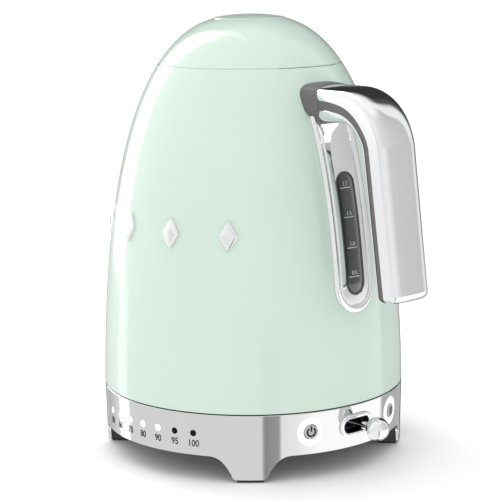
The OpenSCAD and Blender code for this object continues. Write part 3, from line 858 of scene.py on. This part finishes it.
def gauge_rim():
    """The frame's raised edge: a bevel outside, a rounded top, a fall inside."""
    bevel = bend((0, 0.3), (0, 1.6), (0.9, 2.1))
    top = bend((1.5, 2.35), (2.2, 2.6), (2.9, 2.4))
    fall = bend((3.4, 2.2), (4.6, 1.7), (5.2, 1.3))
    profile = [(0.2, -0.3)] + bevel + top + fall + [(5.2, -0.3)]
    columns = [[] for _ in frame_outline(0)]
    for inset, height in profile:
        for column, (y, z) in zip(columns, frame_outline(inset)):
            column.append(on_skin(y, z, height))
    return grid_object("rim", columns, capped=True)


def tomb_outline(inset, side=40, turn=16):
    """The rim's inner outline, in step with slot_outline: (y, z)."""
    top = [(y, FRAME_TOP) for y in steps(0, inset - FRAME_W, turn)]
    return top[:-1] + frame_outline(inset, side, turn)[:-1] + mirrored(top)[:-1]


def gauge_plate():
    """The frame's sunk face, from the rim to the window."""
    outer = tomb_outline(4.4)
    inner = slot_outline(WINDOW_W + 0.05, WINDOW_Z0 - 0.05, WINDOW_Z1 + 0.05)
    rows = [(t, 1.35) for t in steps(0, 0.97, 12)] + [(1.0, 1.15), (1.0, -0.3), (0, -0.3)]
    rings = []
    for t, height in rows:
        ring = [(mix(a, c, t), mix(b, d, t)) for (a, b), (c, d) in zip(outer, inner)]
        rings.append([on_skin(y, z, height) for y, z in ring])
    return grid_object("plate", rings, wrap_rows=True)


def gauge_frame():
    frame_piece = join("gauge_surround", gauge_rim(), gauge_plate())
    place(frame_piece, "jug", "bright_chrome", "gauge_frame", angle=35)


def window_height(inset):
    """Height of the window's face above the skin: a border, a groove, a crown."""
    if inset < 1.0:
        return 0.9
    if inset < 1.35:
        return 0.6
    share = (inset - 1.35) / (WINDOW_W - 1.35)
    return 0.95 + 0.8 * (1 - (1 - share) ** 2)


def gauge_window():
    half = WINDOW_W - 0.05
    insets = [half, 6.2, 5.0, 4.0, 3.2, 2.6, 2.1, 1.7, 1.4, 1.34, 1.02, 0.98, 0.5, 0.2]
    rows = [(inset, window_height(inset)) for inset in insets]
    rows += [(0.05, 0.8), (0.0, 0.6), (0.0, -2.8), (half, -2.8)]
    rings = []
    for inset, height in rows:
        outline = slot_outline(half - inset, WINDOW_Z0 + 0.05 + inset, WINDOW_Z1 - 0.05 - inset)
        rings.append([on_skin(y, z, height) for y, z in outline])
    window = grid_object("gauge_lens", rings)
    place(window, "jug", "smoked_window", "gauge_window", angle=30)


def flat_text(text, size, weight=0.0):
    """A thin mesh of plain figures, centred, in millimetres in X and Y."""
    curve = bpy.data.curves.new("figures", "FONT")
    curve.body = text
    curve.size = size
    curve.align_x = "CENTER"
    curve.align_y = "CENTER"
    curve.extrude = 0.05
    curve.offset = weight
    obj = add_object("figures", curve)
    graph = bpy.context.evaluated_depsgraph_get()
    mesh = bpy.data.meshes.new_from_object(obj.evaluated_get(graph))
    bpy.data.objects.remove(obj)
    bm = bmesh.new()
    bm.from_mesh(mesh)
    bmesh.ops.remove_doubles(bm, verts=bm.verts, dist=1e-5)
    points = [tuple(v.co) for v in bm.verts]
    faces = [[v.index for v in f.verts] for f in bm.faces]
    bm.free()
    return points, faces


def printed(name, points, faces, to_surface):
    """Lays a thin flat shape, in X, Y and a thickness in Z, on a surface."""
    return new_mesh(name, [to_surface(x, y, z) for x, y, z in points], faces)


def bar(name, x0, x1, y0, y1, to_surface):
    """A thin flat bar on a surface."""
    section = [(y0, -0.05), (y1, -0.05), (y1, 0.05), (y0, 0.05)]
    rings = [[to_surface(x, y, z) for y, z in section] for x in steps(x0, x1, 6)]
    return grid_object(name, rings, capped=True)


def gauge_marks():
    """Four level lines with their litres."""
    levels = [("1.7", 155.3), ("1.5", 139.8), ("1.0", 123.5), ("0.5", 108.0)]
    crown = 1.8
    parts = []
    for i, (label, z) in enumerate(levels):
        def lay(x, y, d, z=z):
            inset = WINDOW_W - abs(x)
            return on_skin(x, z + y, min(window_height(inset), crown) + d + 0.02)
        parts.append(bar("level_%d" % i, -4.2, 2.6, -0.2, 0.2, lay))
        points, faces = flat_text(label, 3.0)
        parts.append(printed("litre_%d" % i, [(x - 0.8, y + 2.0, d) for x, y, d in points], faces, lay))
    marks = join("gauge_scale_marks", *parts)
    place(marks, "jug", "white_plastic", angle=40, material=WHITE_INK)


# ---- Studs on the side ----

STUD_ANGLE = -87
STUD_PITCH = 24
STUD_Z = 133.4
STUD_HALF_W = 5
STUD_HALF_H = 8


def badge_studs():
    """Four plain diamond studs along the jug's side."""
    profile = [(1.0, -0.2), (1.0, 0.9), (0.97, 1.2), (0.9, 1.4), (0.62, 1.65), (0.3, 1.75), (0.0, 1.8)]
    turns = steps(0, 2 * math.pi, 64)[:-1]
    diamond = [(powered(math.cos(a), 2 / 1.12), powered(math.sin(a), 2 / 1.12)) for a in turns]
    studs = []
    for k in range(4):
        angle = STUD_ANGLE + STUD_PITCH * (k - 1.5)
        rings = []
        for share, height in profile:
            wide, tall = STUD_HALF_W * share, STUD_HALF_H * share
            rings.append([on_skin(wide * y, STUD_Z + tall * z, height, angle) for y, z in diamond])
        studs.append(grid_object("stud_%d" % k, rings, capped=True))
    badge = join("side_studs", *studs)
    place(badge, "jug", "bright_chrome", "badge_studs", angle=28)


# ---- Base ----

def foot_side(u):
    """Height of a foot's edge above its sole, u from its middle: a rounded corner, then a sweep."""
    if u < FOOT_HALF_W - FOOT_CORNER:
        return 0.0
    if u < FOOT_HALF_W:
        return FOOT_CORNER - math.sqrt(FOOT_CORNER ** 2 - (u - FOOT_HALF_W + FOOT_CORNER) ** 2)
    share = min((u - FOOT_HALF_W) / FOOT_SWEEP, 1)
    return mix(FOOT_CORNER, SKIRT_BOTTOM - FOOT_Z, 1 - (1 - share) ** 2.6)


def skirt_edge(angle):
    """Height of the skirt's lower edge at an angle in degrees: feet that sweep up to it."""
    best = SKIRT_BOTTOM
    for foot in FOOT_ANGLES:
        away = abs((angle - foot + 180) % 360 - 180)
        u = math.radians(away) * FOOT_R
        best = min(best, FOOT_Z + foot_side(u))
    return best


def skirt_column(angle):
    """One upright slice through the skirt."""
    low = skirt_edge(angle)
    top = SKIRT_TOP
    inner_r = SKIRT_R - SKIRT_T
    outer = [(skirt_r(z), z) for z in steps(low + 0.35, top - 0.5, 16)]
    rim = bend(outer[-1], (SKIRT_R, top), (SKIRT_R - 0.5, top), 4)
    ledge = [(inner_r, top), (inner_r, LEDGE_Z + 1.5), (LEDGE_R, LEDGE_Z + 1.5), (LEDGE_R, LEDGE_Z)]
    ledge.append((inner_r, LEDGE_Z))
    inner = [(skirt_r(z) - SKIRT_T, z) for z in steps(LEDGE_Z, low + 0.35, 8)][1:]
    foot = bend(inner[-1], (skirt_r(low) - SKIRT_T / 2, low - 0.1), outer[0], 4)
    a = math.radians(angle)
    outline = outer + rim[1:] + ledge + inner + foot[1:-1]
    return [(r * math.cos(a), r * math.sin(a), z) for r, z in outline]


def rod(radius, angle, z, count=48):
    """A cutter for a round hole through the skirt."""
    first, last = CUT_THROUGH
    outline = [(0, first), (radius, first), (radius, last), (0, last)]
    return revolve("rod", outline, count, radial(angle, z))


def stadium(half_w, half_h, turn=14, side=8):
    """A lying slot's outline: (t, z)."""
    c = half_w - half_h
    half = arc(c, 0, half_h, -90, 90, turn) + [(t, half_h) for t in steps(c, -c, side)][1:-1]
    return half + [(-t, -z) for t, z in half]


def base_skirt():
    skirt = grid_object("base_skirt", [skirt_column(a) for a in steps(0, 360, 720)[:-1]], wrap_rows=True)
    for angle in LIGHT_ANGLES:
        cut(skirt, rod(LIGHT_R, angle, LIGHT_Z))
    for side in (-1, 1):
        cut(skirt, rod(HALO_RIM + 0.02, side * CONTROL_ANGLE, CONTROL_Z, 96))
    cut(skirt, rod(GLAND_R, 180, GLAND_Z, 64))
    outline = stadium(BEZEL_W - 0.3, BEZEL_H - 0.3)
    hole = [[(x, t + BEZEL_T, LEVER_Z + z) for t, z in outline] for x in CUT_THROUGH]
    cut(skirt, grid_object("lever_hole", hole, capped=True))
    polish(skirt, skirt_normal)
    place(skirt, "base", "polished_steel", "base_shell", angle=0)


def light_guide(name, angle, material):
    """A guide's round end in the skirt, its run inwards and its leg down to the board."""
    r = LIGHT_R - 0.04
    face = skirt_r(LIGHT_Z)
    nose = bend((r, face - 0.3), (r, face + 0.02), (r - 0.4, face + 0.08))
    outline = [(0, 74), (r, 74)] + nose + [(0, face + 0.1)]
    run = revolve("run", outline, 40, radial(angle, LIGHT_Z))
    leg = revolve("leg", [(0, BOARD_Z), (r, BOARD_Z), (r, LIGHT_Z), (0, LIGHT_Z)], 40)
    turn = Matrix.Rotation(math.radians(angle), 4, "Z")
    leg.data.transform(turn @ Matrix.Translation((0.0755, 0, 0)))
    guide = join(name, run, leg)
    return place(guide, "base", "light_guide", material=material)


def lights():
    for i, angle in enumerate(LIGHT_ANGLES):
        material = LIT if i < LIT_COUNT else INK
        guide = light_guide("light_guide_" + LABELS[i], angle, material)
        if i == 0:
            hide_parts("light_pipes")


def light_numbers():
    parts = []
    for label, angle in zip(LABELS, LIGHT_ANGLES):
        def lay(x, y, d, angle=angle):
            return on_skirt(angle, x * NUMBER_WIDTH, NUMBER_Z + y, d + 0.04)
        parts.append(printed("number_" + label, *flat_text(label, NUMBER_SIZE, NUMBER_WEIGHT), lay))
    numbers = join("temperature_numbers", *parts)
    place(numbers, "base", "black_plastic", material=INK)


def halo_material():
    """White light behind a ring that fades into metal at its rim."""
    material, shader = new_material("light_guide_halo", 0.0, 0.25)
    tinted(shader, (0.85, 0.85, 0.86), 0.02, 300)
    tree = shader.id_data
    spot = tree.nodes.new("ShaderNodeUVMap")
    split = tree.nodes.new("ShaderNodeSeparateXYZ")
    tree.links.new(spot.outputs["UV"], split.inputs["Vector"])
    fade = ramp(tree, split.outputs["X"], [(0.0, 0.5), (0.25, 1.0), (0.6, 1.0), (1.0, 0.1)])
    tree.links.new(fade, shader.inputs["Emission Color"])
    shader.inputs["Emission Strength"].default_value = 0.8
    return material


def halo_ring(side, name, material):
    """The lit ring round a push button, flush with the skirt. U runs from its bore to its rim."""
    rows = [(r, 0.0) for r in steps(HALO_BORE, HALO_RIM, 12)] + [(HALO_RIM, -1.5), (HALO_BORE, -1.5)]
    angle = side * CONTROL_ANGLE
    turns = steps(0, 2 * math.pi, 96)[:-1]
    rings = []
    for r, d in rows:
        rings.append([on_skirt(angle, r * math.cos(a), CONTROL_Z + r * math.sin(a), d) for a in turns])
    ring = grid_object(name + "_halo", rings, wrap_rows=True)
    layer = ring.data.uv_layers.new(name="UVMap")
    centre = Vector(on_skirt(angle, 0, CONTROL_Z, 0))
    for corner in ring.data.loops:
        away = (ring.data.vertices[corner.vertex_index].co / MM - centre).length
        layer.data[corner.index].uv = ((away - HALO_BORE) / (HALO_RIM - HALO_BORE), 0.5)
    place(ring, "base", "light_guide", name + "_ring", material=material)


def button_cap(side, name):
    """A push button: a lightly domed disc on a stem."""
    face = skirt_r(CONTROL_Z) + 0.55
    stem = [(0, 79.5), (1.5, 79.5), (1.5, 84.3), (3.9, 84.3)]
    edge = bend((3.9, face - 0.5), (3.9, face), (3.4, face))
    outline = stem + edge + [(2, face + 0.1), (0, face + 0.13)]
    cap = revolve(name + "_button_cap", outline, 64, radial(side * CONTROL_ANGLE, CONTROL_Z))
    place(cap, name + "_button", "button_grey", name + "_button")


def push_buttons():
    """The two lit rings, then the two buttons."""
    halo = halo_material()
    for side, name in CONTROLS:
        halo_ring(side, name, halo)
    for side, name in CONTROLS:
        button_cap(side, name)


def on_button(side, x, y, d):
    """Point on a push button's face, x to the right and y up."""
    a = math.radians(side * CONTROL_ANGLE)
    r = skirt_r(CONTROL_Z) + 0.68 + d
    return r * math.cos(a) - x * math.sin(a), r * math.sin(a) + x * math.cos(a), CONTROL_Z + y


def power_glyph():
    """An open ring with a bar through its gap."""
    lay = partial(on_button, -1)
    rings = []
    for a in steps(math.radians(122), math.radians(418), 40):
        c, v = math.cos(a), math.sin(a)
        section = [(1.85, -0.05), (2.7, -0.05), (2.7, 0.05), (1.85, 0.05)]
        rings.append([lay(r * c, r * v, d) for r, d in section])
    ring = grid_object("ring", rings, capped=True)
    stroke = bar("stroke", -0.42, 0.42, 0.2, 3.3, lay)
    glyph = join("power_glyph", ring, stroke)
    place(glyph, "power_button", "black_plastic", material=INK)


def warm_glyph():
    """Three upright strokes, the sign for keeping warm."""
    lay = partial(on_button, 1)
    strokes = []
    for i in range(3):
        x = 1.3 * (i - 1)
        strokes.append(bar("stroke_%d" % i, x - 0.3, x + 0.3, -2.2, 2.2, lay))
    glyph = join("warm_glyph", *strokes)
    place(glyph, "warm_button", "black_plastic", material=INK)


def lever_bezel():
    """A rounded chrome ring round the lever's slot, with a sleeve behind it."""
    outside = bend((0, 0.2), (0, 1.5), (1.3, 1.6), 6)
    inside = bend((1.6, 1.6), (2.5, 1.5), (2.6, 0.4), 5)
    profile = [(0, -1.3)] + outside + inside + [(2.7, -5.0), (1.4, -5.0), (1.4, -1.3)]
    rings = []
    for inset, height in profile:
        outline = stadium(BEZEL_W - inset, BEZEL_H - inset)
        rings.append([on_skirt(0, t + BEZEL_T, LEVER_Z + z, height) for t, z in outline])
    bezel = grid_object("lever_slot_bezel", rings, wrap_rows=True)
    place(bezel, "base", "bright_chrome", "lever_bezel", angle=35)


def lever():
    ball_low, ball_high = corners_mm("lever_knob")
    ball_r = (ball_high.z - ball_low.z) / 2
    ball_x = ball_high.x - ball_r
    socket = 2.7
    rim = math.degrees(math.acos(socket / ball_r))
    sphere = [(0, ball_x - ball_r + 0.9), (socket, ball_x - ball_r + 0.9)]
    sphere += arc(0, ball_x, ball_r, -rim, 90, 40)
    ball = revolve("lever_ball", sphere, 96, radial(0, LEVER_Z))
    place(ball, "lever", "bright_chrome", "lever_knob", angle=30)
    tip = ball_x - 5.6
    stem = [(0, PIVOT_X), (1.7, PIVOT_X), (1.75, 80), (1.9, 86), (2.1, 90), (2.6, tip), (0, tip)]
    arm = revolve("arm", stem, 64, radial(0, LEVER_Z))
    ring = [(1.55, 25), (4.2, 25), (4.5, 25.3), (4.5, 28.2), (4.2, 28.5), (1.55, 28.5)]
    hub = revolve("hub", ring, 64, Matrix.Translation((PIVOT_X * MM, 0, 0)))
    lever_arm = join("lever_stem", arm, hub)
    place(lever_arm, "lever", "bright_chrome", "lever_arm", angle=30)


# ---- Springs ----

SPRING_Z = 230.2
LATCH_SPRING_AT = Vector((14.2, 0, 217.7))


def coil_spring(name, body, radius, wire, length, turns, matrix):
    """A wire coil that starts at the origin and runs along Z, moved by matrix."""
    rings = []
    for t in steps(0, 1, 24 * turns):
        a = 2 * math.pi * turns * t
        z = mix(wire, length - wire, t)
        section = arc(radius, z, wire, 0, 360, 8)[:-1]
        rings.append([(r * math.cos(a), r * math.sin(a), h) for r, h in section])
    spring = grid_object(name, rings, capped=True)
    spring.data.transform(matrix)
    return place(spring, body, "spring_steel", angle=60)


def squeezed(spring, node):
    """Hides the CAD spring that a coil stands for and gives the coil a mesh of its own."""
    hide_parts(node)
    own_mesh(spring)


def springs():
    length = BUTTON_HIGH.z - 3 - SPRING_Z
    up = Matrix.Translation((0, 0, SPRING_Z * MM))
    button = coil_spring("button_return_spring", "lid", 5.3, 0.45, length, 5, up)
    squeezed(button, "button_spring")
    along = Matrix.Translation(LATCH_SPRING_AT * MM) @ Matrix.Rotation(math.pi / 2, 4, "Y")
    latch = coil_spring("latch_return_spring", "lid", 1.4, 0.3, 15.6, 6, along)
    squeezed(latch, "latch_spring")
    for side, name in CONTROLS:
        out = radial(side * CONTROL_ANGLE, CONTROL_Z) @ Matrix.Translation((0, 0, 78.3 * MM))
        spring = coil_spring(name + "_return_spring", "base", 2.1, 0.3, 5.9, 4, out)
        squeezed(spring, name + "_spring")


# ---- Studio ----

CAMERA_ANGLE = math.radians(-42)
CAMERA_AWAY = 0.976
CAMERA_Z = 0.2933
CAMERA_TILT = math.radians(10.545)
CAMERA_ROLL = math.radians(-0.65)
CAMERA_LENS = 125.05
CAMERA_SHIFT = -0.0039
FLOOR = 3000


def add_camera():
    data = bpy.data.cameras.new("camera")
    data.sensor_width = 36
    data.lens = CAMERA_LENS
    data.shift_x = CAMERA_SHIFT
    camera = add_object("camera", data)
    x, y = CAMERA_AWAY * math.cos(CAMERA_ANGLE), CAMERA_AWAY * math.sin(CAMERA_ANGLE)
    position = Matrix.Translation((x, y, CAMERA_Z))
    turn = Matrix.Rotation(CAMERA_ANGLE + math.pi / 2, 4, "Z")
    tilt = Matrix.Rotation(math.pi / 2 - CAMERA_TILT, 4, "X")
    roll = Matrix.Rotation(CAMERA_ROLL, 4, "Z")
    camera.matrix_world = position @ turn @ tilt @ roll
    bpy.context.scene.camera = camera


def add_floor():
    corners = [(-FLOOR, -FLOOR, 0), (FLOOR, -FLOOR, 0), (FLOOR, FLOOR, 0), (-FLOOR, FLOOR, 0)]
    floor = new_mesh("floor", corners, [(0, 1, 2, 3)])
    material, shader = new_material("floor_white", 0.0, 0.8, Specular_IOR_Level=0.0)
    tinted(shader, (0.97, 0.97, 0.97), 0.003, 2)
    floor.data.materials.append(material)
    floor.visible_glossy = False


def math_node(tree, operation, a, b=None):
    node = tree.nodes.new("ShaderNodeMath")
    node.operation = operation
    for socket, value in zip(node.inputs, (a, b)):
        if isinstance(value, (int, float)):
            socket.default_value = value
        elif value is not None:
            tree.links.new(value, socket)
    return node.outputs["Value"]


def mix_colour(tree, factor, a, b):
    node = tree.nodes.new("ShaderNodeMix")
    node.data_type = "RGBA"
    tree.links.new(factor, node.inputs["Factor"])
    tree.links.new(a, node.inputs["A"])
    tree.links.new(b, node.inputs["B"])
    return node.outputs["Result"]


def add_world():
    """White studio walls, with a tall light behind on the left and dark gaps between."""
    world = bpy.data.worlds.new("studio")
    bpy.context.scene.world = world
    world.use_nodes = True
    tree = world.node_tree
    direction = tree.nodes.new("ShaderNodeTexCoord")
    split = tree.nodes.new("ShaderNodeSeparateXYZ")
    tree.links.new(direction.outputs["Generated"], split.inputs["Vector"])
    front = math_node(tree, "ARCTAN2", split.outputs["Y"], split.outputs["X"])
    turned = math_node(tree, "WRAP", math_node(tree, "SUBTRACT", front, CAMERA_ANGLE), math.pi)
    tree.nodes[-1].inputs[2].default_value = -math.pi
    share = math_node(tree, "ADD", math_node(tree, "DIVIDE", turned, 2 * math.pi), 0.5)
    rise = math_node(tree, "DIVIDE", math_node(tree, "ARCSINE", split.outputs["Z"]), math.pi / 2)
    height = math_node(tree, "ADD", math_node(tree, "MULTIPLY", rise, 0.5), 0.5)

    def walls(*stops):
        """Brightness by degrees round from the front."""
        return ramp(tree, share, [((degrees + 180) / 360, level) for degrees, level in stops])

    low = walls(
        (-180, 0.2), (-170, 0.2), (-164, 0.6), (-149, 0.6), (-138, 0.8), (-128, 1.0), (-126, 2.2),
        (-115, 2.2), (-111, 0.97), (6.5, 0.97), (7.3, 0.36), (19.5, 0.46), (20.3, 1.12), (34, 1.2),
        (50, 1.45), (114, 1.5), (118, 0.62), (160, 0.55), (168, 0.05), (180, 0.1))
    middle = walls(
        (-180, 0.3), (-151, 0.3), (-149, 4.2), (-123, 4.2), (-121, 1.2), (-84, 1.15), (-66, 0.85),
        (30, 0.95), (50, 0.8), (62, 0.68), (106, 0.62), (112, 0.9), (124, 0.85), (130, 0.25), (170, 0.1),
        (180, 0.25))
    high = walls(
        (-180, 0.04), (-153, 0.04), (-151, 4.5), (-127, 4.5), (-122, 1.2), (-50, 1.0), (60, 0.75),
        (104, 0.6), (110, 1.0), (124, 0.9), (134, 0.1), (150, 0.04), (180, 0.04))
    above = walls((-180, 0.9), (-164, 0.9), (-156, 2.6), (-150, 2.6), (-138, 1.15), (180, 1.0))
    around = low
    for part, start, end in ((middle, 0.455, 0.475), (high, 0.545, 0.56), (above, 0.78, 0.87)):
        around = mix_colour(tree, ramp(tree, height, [(start, 0), (end, 1)]), around, part)
    white = tree.nodes.new("ShaderNodeRGB")
    white.outputs[0].default_value = (1.02, 1.02, 1.02, 1)
    soft = walls(
        (-180, 1.1), (-120, 1.08), (-40, 1.12), (20, 1.04), (70, 0.85), (130, 0.88), (180, 1.05))
    seen = tree.nodes.new("ShaderNodeLightPath")
    lit = mix_colour(tree, seen.outputs["Is Diffuse Ray"], around, soft)
    colour = mix_colour(tree, seen.outputs["Is Camera Ray"], lit, white.outputs[0])
    tree.links.new(colour, tree.nodes["Background"].inputs["Color"])


def add_light():
    """A large soft light overhead that no mirror shows."""
    data = bpy.data.lights.new("overhead", "AREA")
    data.shape = "RECTANGLE"
    data.size = data.size_y = 1.8
    data.energy = 5
    light = add_object("overhead", data)
    light.location = (0.1, -0.1, 1.5)
    light.rotation_euler = (Vector((0, 0, 0.1)) - light.location).to_track_quat("-Z", "Y").to_euler()
    light.visible_glossy = False
    light.visible_camera = False


add_camera()
dress_cad_nodes()
jug_body()
spout_piece()
lid_dome()
lid_button()
handle_core()
handle_outer()
handle_inner()
handle_collar()
gauge_frame()
gauge_window()
gauge_marks()
badge_studs()
base_skirt()
lights()
light_numbers()
push_buttons()
power_glyph()
warm_glyph()
lever_bezel()
lever()
springs()
add_floor()
add_world()
add_light()
bpy.context.scene.view_settings.view_transform = "Standard"
